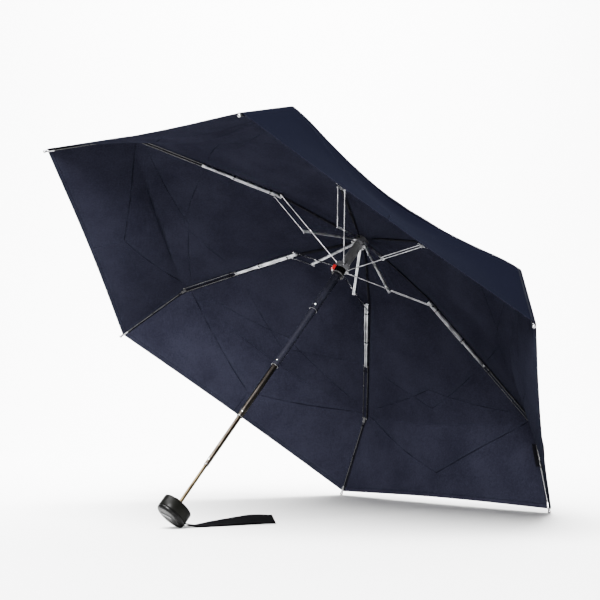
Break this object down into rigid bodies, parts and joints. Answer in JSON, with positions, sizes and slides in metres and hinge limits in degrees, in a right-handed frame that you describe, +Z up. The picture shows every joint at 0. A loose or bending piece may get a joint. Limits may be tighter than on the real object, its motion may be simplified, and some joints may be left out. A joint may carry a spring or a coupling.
{
  "type": "folding umbrella",
  "caption": "Compact folding umbrella, open: hexagonal fabric canopy, folding ribs, telescopic shaft, runner with release button, short oval handle and wrist strap.",
  "frame": {"origin": "middle of the bounding box, on the floor that the open umbrella lies on", "axes": "+Z up from the floor; +X level, from the handle towards the two rim tips on the floor, the shaft leans 42.6 degrees from upright towards +X; +Y level, across the umbrella"},
  "size_m": [0.5916, 0.9004, 0.5575],
  "materials": {
    "canopy": "woven",
    "strap": "woven",
    "rib_bright": "satin",
    "rib_wire": "satin",
    "rib_dark": "satin",
    "shaft_dark": "satin",
    "shaft_grey": "satin",
    "shaft_bronze": "satin",
    "black_plastic": "satin",
    "grey_plastic": "satin",
    "red_plastic": "gloss",
    "steel": "satin"
  },
  "bodies": {
    "frame": {"tube_1": "shaft_dark", "top_notch": "grey_plastic", "notch_wire": "steel", "crown_cap": "black_plastic", "canopy": "canopy", "closure_band": "strap"},
    "runner": {"runner": "black_plastic", "runner_collar": "grey_plastic", "button_spring": "steel"},
    "button": {"runner_button": "red_plastic"},
    "tube_2": {"tube_2": "shaft_dark"},
    "tube_3": {"tube_3": "shaft_grey"},
    "tube_4": {"tube_4": "shaft_bronze"},
    "handle": {"tube_5": "shaft_bronze", "handle_body": "black_plastic", "handle_end_cap": "black_plastic", "handle_screw": "steel", "end_inlay": "steel", "strap_pin": "steel", "strap": "strap"},
    "snap_2": {"snap_clip_2": "steel"},
    "snap_3": {"snap_clip_3": "steel"},
    "snap_4": {"snap_clip_4": "steel"},
    "snap_5": {"snap_clip_5": "steel"},
    "inner_rib_1": {"inner_rib_1": "rib_bright"},
    "lever_1": {"lever_1": "rib_wire"},
    "link_wire_1": {"link_wire_1": "rib_wire"},
    "middle_rib_1": {"middle_rib_1": "rib_bright"},
    "outer_link_1": {"outer_link_1": "rib_dark"},
    "end_rib_1": {"end_rib_1": "rib_dark"},
    "inner_rib_2": {"inner_rib_2": "rib_bright"},
    "lever_2": {"lever_2": "rib_wire"},
    "link_wire_2": {"link_wire_2": "rib_wire"},
    "middle_rib_2": {"middle_rib_2": "rib_bright"},
    "outer_link_2": {"outer_link_2": "rib_dark"},
    "end_rib_2": {"end_rib_2": "rib_dark"},
    "inner_rib_3": {"inner_rib_3": "rib_bright"},
    "lever_3": {"lever_3": "rib_wire"},
    "link_wire_3": {"link_wire_3": "rib_wire"},
    "middle_rib_3": {"middle_rib_3": "rib_bright"},
    "outer_link_3": {"outer_link_3": "rib_dark"},
    "end_rib_3": {"end_rib_3": "rib_dark"},
    "inner_rib_4": {"inner_rib_4": "rib_bright"},
    "lever_4": {"lever_4": "rib_wire"},
    "link_wire_4": {"link_wire_4": "rib_wire"},
    "middle_rib_4": {"middle_rib_4": "rib_bright"},
    "outer_link_4": {"outer_link_4": "rib_dark"},
    "end_rib_4": {"end_rib_4": "rib_dark"},
    "inner_rib_5": {"inner_rib_5": "rib_bright"},
    "lever_5": {"lever_5": "rib_wire"},
    "link_wire_5": {"link_wire_5": "rib_wire"},
    "middle_rib_5": {"middle_rib_5": "rib_bright"},
    "outer_link_5": {"outer_link_5": "rib_dark"},
    "end_rib_5": {"end_rib_5": "rib_dark"},
    "inner_rib_6": {"inner_rib_6": "rib_bright"},
    "lever_6": {"lever_6": "rib_wire"},
    "link_wire_6": {"link_wire_6": "rib_wire"},
    "middle_rib_6": {"middle_rib_6": "rib_bright"},
    "outer_link_6": {"outer_link_6": "rib_dark"},
    "end_rib_6": {"end_rib_6": "rib_dark"}
  },
  "joints": [
    {"name": "runner_slide", "type": "slide", "parent": "frame", "child": "runner", "axis": [-0.678, 0, -0.735], "range_m": [0, 0.07887], "deforming": ["canopy", "closure_band"]},
    {"name": "release_button", "type": "slide", "parent": "runner", "child": "button", "axis": [0.6429, -0.4848, -0.593], "range_m": [0, 0.0012], "stiffness_N_per_m": 900, "springref_m": -0.0012, "deforming": ["button_spring"]},
    {"name": "tube_2_slide", "type": "slide", "parent": "frame", "child": "tube_2", "axis": [0.678, 0, 0.735], "range_m": [0, 0.107], "deforming": ["snap_clip_2"]},
    {"name": "snap_clip_2_press", "type": "slide", "parent": "tube_2", "child": "snap_2", "axis": [0.6907, 0.342, -0.6371], "range_m": [0, 0.0012], "stiffness_N_per_m": 700, "springref_m": -0.0012},
    {"name": "tube_3_slide", "type": "slide", "parent": "tube_2", "child": "tube_3", "axis": [0.678, 0, 0.735], "range_m": [0, 0.0935], "deforming": ["snap_clip_3"]},
    {"name": "snap_clip_3_press", "type": "slide", "parent": "tube_3", "child": "snap_3", "axis": [0.6907, 0.342, -0.6371], "range_m": [0, 0.0012], "stiffness_N_per_m": 700, "springref_m": -0.0012},
    {"name": "tube_4_slide", "type": "slide", "parent": "tube_3", "child": "tube_4", "axis": [0.678, 0, 0.735], "range_m": [0, 0.086], "deforming": ["snap_clip_4"]},
    {"name": "snap_clip_4_press", "type": "slide", "parent": "tube_4", "child": "snap_4", "axis": [0.6907, 0.342, -0.6371], "range_m": [0, 0.0012], "stiffness_N_per_m": 700, "springref_m": -0.0012},
    {"name": "tube_5_slide", "type": "slide", "parent": "tube_4", "child": "handle", "axis": [0.678, 0, 0.735], "range_m": [0, 0.0625], "deforming": ["snap_clip_5"]},
    {"name": "snap_clip_5_press", "type": "slide", "parent": "handle", "child": "snap_5", "axis": [0.6907, 0.342, -0.6371], "range_m": [0, 0.0012], "stiffness_N_per_m": 700, "springref_m": -0.0012},
    {"name": "inner_rib_1_hinge", "type": "hinge", "parent": "frame", "child": "inner_rib_1", "pos_m": [0.12169, 0.00475, 0.3942], "axis": [0.3675, -0.866, -0.339], "range_deg": [-56.53, 0]},
    {"name": "elbow_1", "type": "hinge", "parent": "inner_rib_1", "child": "lever_1", "pos_m": [0.13623, 0.035, 0.33269], "axis": [0.3675, -0.866, -0.339], "range_deg": [0, 126.7]},
    {"name": "link_wire_1_hinge", "type": "hinge", "parent": "inner_rib_1", "child": "link_wire_1", "pos_m": [0.13789, 0.03845, 0.32567], "axis": [0.3675, -0.866, -0.339], "range_deg": [0, 128.68]},
    {"name": "knee_1", "type": "hinge", "parent": "lever_1", "child": "middle_rib_1", "pos_m": [0.19268, 0.0685, 0.3083], "axis": [0.3675, -0.866, -0.339], "range_deg": [-144.12, 0]},
    {"name": "second_knee_1", "type": "hinge", "parent": "middle_rib_1", "child": "outer_link_1", "pos_m": [0.24474, 0.1275, 0.21402], "axis": [0.3675, -0.866, -0.339], "range_deg": [0, 177.95]},
    {"name": "bend_1", "type": "hinge", "parent": "outer_link_1", "child": "end_rib_1", "pos_m": [0.29179, 0.1815, 0.12709], "axis": [0.3675, -0.866, -0.339], "range_deg": [-143.83, 0]},
    {"name": "inner_rib_2_hinge", "type": "hinge", "parent": "frame", "child": "inner_rib_2", "pos_m": [0.11564, 0.0095, 0.39977], "axis": [0.735, 0, -0.678], "range_deg": [-56.53, 0]},
    {"name": "elbow_2", "type": "hinge", "parent": "inner_rib_2", "child": "lever_2", "pos_m": [0.09168, 0.07, 0.3738], "axis": [0.735, 0, -0.678], "range_deg": [0, 126.7]},
    {"name": "link_wire_2_hinge", "type": "hinge", "parent": "inner_rib_2", "child": "link_wire_2", "pos_m": [0.08894, 0.07691, 0.37083], "axis": [0.735, 0, -0.678], "range_deg": [0, 128.68]},
    {"name": "knee_2", "type": "hinge", "parent": "lever_2", "child": "middle_rib_2", "pos_m": [0.10547, 0.137, 0.38875], "axis": [0.735, 0, -0.678], "range_deg": [-144.12, 0]},
    {"name": "second_knee_2", "type": "hinge", "parent": "middle_rib_2", "child": "outer_link_2", "pos_m": [0.08242, 0.255, 0.36376], "axis": [0.735, 0, -0.678], "range_deg": [0, 177.95]},
    {"name": "bend_2", "type": "hinge", "parent": "outer_link_2", "child": "end_rib_2", "pos_m": [0.06072, 0.363, 0.34024], "axis": [0.735, 0, -0.678], "range_deg": [-143.83, 0]},
    {"name": "inner_rib_3_hinge", "type": "hinge", "parent": "frame", "child": "inner_rib_3", "pos_m": [0.10959, 0.00475, 0.40535], "axis": [0.3675, 0.866, -0.339], "range_deg": [-56.53, 0]},
    {"name": "elbow_3", "type": "hinge", "parent": "inner_rib_3", "child": "lever_3", "pos_m": [0.04712, 0.035, 0.4149], "axis": [0.3675, 0.866, -0.339], "range_deg": [0, 126.7]},
    {"name": "link_wire_3_hinge", "type": "hinge", "parent": "inner_rib_3", "child": "link_wire_3", "pos_m": [0.03998, 0.03845, 0.41599], "axis": [0.3675, 0.866, -0.339], "range_deg": [0, 128.68]},
    {"name": "knee_3", "type": "hinge", "parent": "lever_3", "child": "middle_rib_3", "pos_m": [0.01826, 0.0685, 0.46919], "axis": [0.3675, 0.866, -0.339], "range_deg": [-144.12, 0]},
    {"name": "second_knee_3", "type": "hinge", "parent": "middle_rib_3", "child": "outer_link_3", "pos_m": [-0.07991, 0.1275, 0.51349], "axis": [0.3675, 0.866, -0.339], "range_deg": [0, 177.95]},
    {"name": "bend_3", "type": "hinge", "parent": "outer_link_3", "child": "end_rib_3", "pos_m": [-0.17035, 0.1815, 0.55339], "axis": [0.3675, 0.866, -0.339], "range_deg": [-143.83, 0]},
    {"name": "inner_rib_4_hinge", "type": "hinge", "parent": "frame", "child": "inner_rib_4", "pos_m": [0.10959, -0.00475, 0.40535], "axis": [-0.3675, 0.866, 0.339], "range_deg": [-56.53, 0]},
    {"name": "elbow_4", "type": "hinge", "parent": "inner_rib_4", "child": "lever_4", "pos_m": [0.04712, -0.035, 0.4149], "axis": [-0.3675, 0.866, 0.339], "range_deg": [0, 126.7]},
    {"name": "link_wire_4_hinge", "type": "hinge", "parent": "inner_rib_4", "child": "link_wire_4", "pos_m": [0.03998, -0.03845, 0.41599], "axis": [-0.3675, 0.866, 0.339], "range_deg": [0, 128.68]},
    {"name": "knee_4", "type": "hinge", "parent": "lever_4", "child": "middle_rib_4", "pos_m": [0.01826, -0.0685, 0.46919], "axis": [-0.3675, 0.866, 0.339], "range_deg": [-144.12, 0]},
    {"name": "second_knee_4", "type": "hinge", "parent": "middle_rib_4", "child": "outer_link_4", "pos_m": [-0.07991, -0.1275, 0.51349], "axis": [-0.3675, 0.866, 0.339], "range_deg": [0, 177.95]},
    {"name": "bend_4", "type": "hinge", "parent": "outer_link_4", "child": "end_rib_4", "pos_m": [-0.17035, -0.1815, 0.55339], "axis": [-0.3675, 0.866, 0.339], "range_deg": [-143.83, 0]},
    {"name": "inner_rib_5_hinge", "type": "hinge", "parent": "frame", "child": "inner_rib_5", "pos_m": [0.11564, -0.0095, 0.39977], "axis": [-0.735, 0, 0.678], "range_deg": [-56.53, 0]},
    {"name": "elbow_5", "type": "hinge", "parent": "inner_rib_5", "child": "lever_5", "pos_m": [0.09168, -0.07, 0.3738], "axis": [-0.735, 0, 0.678], "range_deg": [0, 126.7]},
    {"name": "link_wire_5_hinge", "type": "hinge", "parent": "inner_rib_5", "child": "link_wire_5", "pos_m": [0.08894, -0.07691, 0.37083], "axis": [-0.735, 0, 0.678], "range_deg": [0, 128.68]},
    {"name": "knee_5", "type": "hinge", "parent": "lever_5", "child": "middle_rib_5", "pos_m": [0.10547, -0.137, 0.38875], "axis": [-0.735, 0, 0.678], "range_deg": [-144.12, 0]},
    {"name": "second_knee_5", "type": "hinge", "parent": "middle_rib_5", "child": "outer_link_5", "pos_m": [0.08242, -0.255, 0.36376], "axis": [-0.735, 0, 0.678], "range_deg": [0, 177.95]},
    {"name": "bend_5", "type": "hinge", "parent": "outer_link_5", "child": "end_rib_5", "pos_m": [0.06072, -0.363, 0.34024], "axis": [-0.735, 0, 0.678], "range_deg": [-143.83, 0]},
    {"name": "inner_rib_6_hinge", "type": "hinge", "parent": "frame", "child": "inner_rib_6", "pos_m": [0.12169, -0.00475, 0.3942], "axis": [-0.3675, -0.866, 0.339], "range_deg": [-56.53, 0]},
    {"name": "elbow_6", "type": "hinge", "parent": "inner_rib_6", "child": "lever_6", "pos_m": [0.13623, -0.035, 0.33269], "axis": [-0.3675, -0.866, 0.339], "range_deg": [0, 126.7]},
    {"name": "link_wire_6_hinge", "type": "hinge", "parent": "inner_rib_6", "child": "link_wire_6", "pos_m": [0.13789, -0.03845, 0.32567], "axis": [-0.3675, -0.866, 0.339], "range_deg": [0, 128.68]},
    {"name": "knee_6", "type": "hinge", "parent": "lever_6", "child": "middle_rib_6", "pos_m": [0.19268, -0.0685, 0.3083], "axis": [-0.3675, -0.866, 0.339], "range_deg": [-144.12, 0]},
    {"name": "second_knee_6", "type": "hinge", "parent": "middle_rib_6", "child": "outer_link_6", "pos_m": [0.24474, -0.1275, 0.21402], "axis": [-0.3675, -0.866, 0.339], "range_deg": [0, 177.95]},
    {"name": "bend_6", "type": "hinge", "parent": "outer_link_6", "child": "end_rib_6", "pos_m": [0.29179, -0.1815, 0.12709], "axis": [-0.3675, -0.866, 0.339], "range_deg": [-143.83, 0]}
  ],
  "couplings": [
    {"joint": "inner_rib_1_hinge", "follows": "runner_slide", "rad_per_m": -12.505},
    {"joint": "elbow_1", "follows": "runner_slide", "rad_per_m": 28.033},
    {"joint": "link_wire_1_hinge", "follows": "runner_slide", "rad_per_m": 28.47},
    {"joint": "knee_1", "follows": "runner_slide", "rad_per_m": -31.887},
    {"joint": "second_knee_1", "follows": "runner_slide", "rad_per_m": 39.374},
    {"joint": "bend_1", "follows": "runner_slide", "rad_per_m": -31.824},
    {"joint": "inner_rib_2_hinge", "follows": "runner_slide", "rad_per_m": -12.505},
    {"joint": "elbow_2", "follows": "runner_slide", "rad_per_m": 28.033},
    {"joint": "link_wire_2_hinge", "follows": "runner_slide", "rad_per_m": 28.47},
    {"joint": "knee_2", "follows": "runner_slide", "rad_per_m": -31.887},
    {"joint": "second_knee_2", "follows": "runner_slide", "rad_per_m": 39.374},
    {"joint": "bend_2", "follows": "runner_slide", "rad_per_m": -31.824},
    {"joint": "inner_rib_3_hinge", "follows": "runner_slide", "rad_per_m": -12.505},
    {"joint": "elbow_3", "follows": "runner_slide", "rad_per_m": 28.033},
    {"joint": "link_wire_3_hinge", "follows": "runner_slide", "rad_per_m": 28.47},
    {"joint": "knee_3", "follows": "runner_slide", "rad_per_m": -31.887},
    {"joint": "second_knee_3", "follows": "runner_slide", "rad_per_m": 39.374},
    {"joint": "bend_3", "follows": "runner_slide", "rad_per_m": -31.824},
    {"joint": "inner_rib_4_hinge", "follows": "runner_slide", "rad_per_m": -12.505},
    {"joint": "elbow_4", "follows": "runner_slide", "rad_per_m": 28.033},
    {"joint": "link_wire_4_hinge", "follows": "runner_slide", "rad_per_m": 28.47},
    {"joint": "knee_4", "follows": "runner_slide", "rad_per_m": -31.887},
    {"joint": "second_knee_4", "follows": "runner_slide", "rad_per_m": 39.374},
    {"joint": "bend_4", "follows": "runner_slide", "rad_per_m": -31.824},
    {"joint": "inner_rib_5_hinge", "follows": "runner_slide", "rad_per_m": -12.505},
    {"joint": "elbow_5", "follows": "runner_slide", "rad_per_m": 28.033},
    {"joint": "link_wire_5_hinge", "follows": "runner_slide", "rad_per_m": 28.47},
    {"joint": "knee_5", "follows": "runner_slide", "rad_per_m": -31.887},
    {"joint": "second_knee_5", "follows": "runner_slide", "rad_per_m": 39.374},
    {"joint": "bend_5", "follows": "runner_slide", "rad_per_m": -31.824},
    {"joint": "inner_rib_6_hinge", "follows": "runner_slide", "rad_per_m": -12.505},
    {"joint": "elbow_6", "follows": "runner_slide", "rad_per_m": 28.033},
    {"joint": "link_wire_6_hinge", "follows": "runner_slide", "rad_per_m": 28.47},
    {"joint": "knee_6", "follows": "runner_slide", "rad_per_m": -31.887},
    {"joint": "second_knee_6", "follows": "runner_slide", "rad_per_m": 39.374},
    {"joint": "bend_6", "follows": "runner_slide", "rad_per_m": -31.824}
  ]
}
